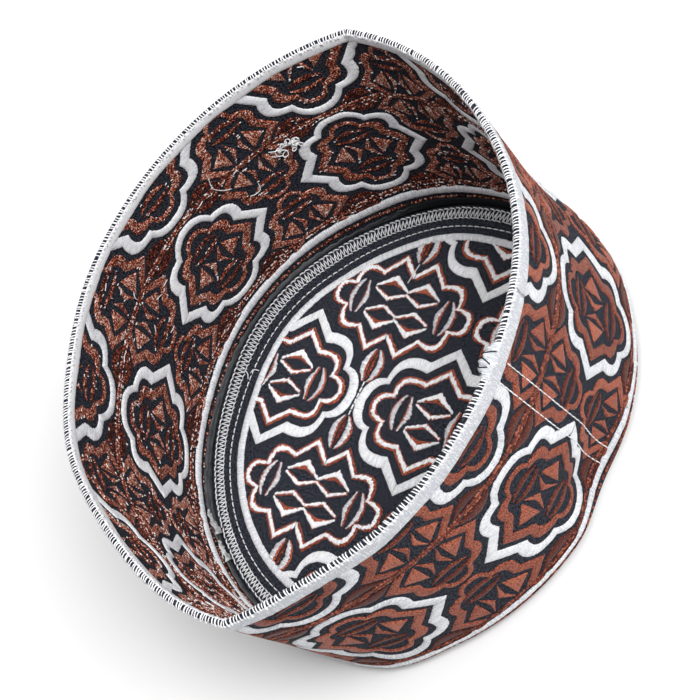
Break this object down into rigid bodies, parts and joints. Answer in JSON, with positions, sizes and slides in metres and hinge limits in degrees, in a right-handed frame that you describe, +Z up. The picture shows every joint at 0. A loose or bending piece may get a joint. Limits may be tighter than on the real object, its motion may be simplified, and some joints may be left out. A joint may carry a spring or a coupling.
{
  "type": "kufi",
  "caption": "Brimless cloth cap with a flat oval crown, an upright embroidered side wall and a thread-bound pointed rim.",
  "frame": {"origin": "middle of the crown's flat outer face, on the surface that the cap lies on", "axes": "+Z up out of the head opening, +Y along the opening's long axis to one of its two points, +X to the side of the wall's joining seam"},
  "size_m": [0.178, 0.2148, 0.0993],
  "materials": {
    "navy_cloth": "matt navy-black twill cotton",
    "rust_thread": "rust-brown embroidery thread with a soft satin sheen",
    "white_thread": "white satin-stitch thread",
    "grey_cloth": "matt dark grey seam cloth"
  },
  "bodies": {
    "root": {"crown": "navy_cloth", "side_wall": "navy_cloth", "rim_overlock": "white_thread", "seam_allowance": "grey_cloth", "seam_overlock": "white_thread"}
  },
  "joints": []
}
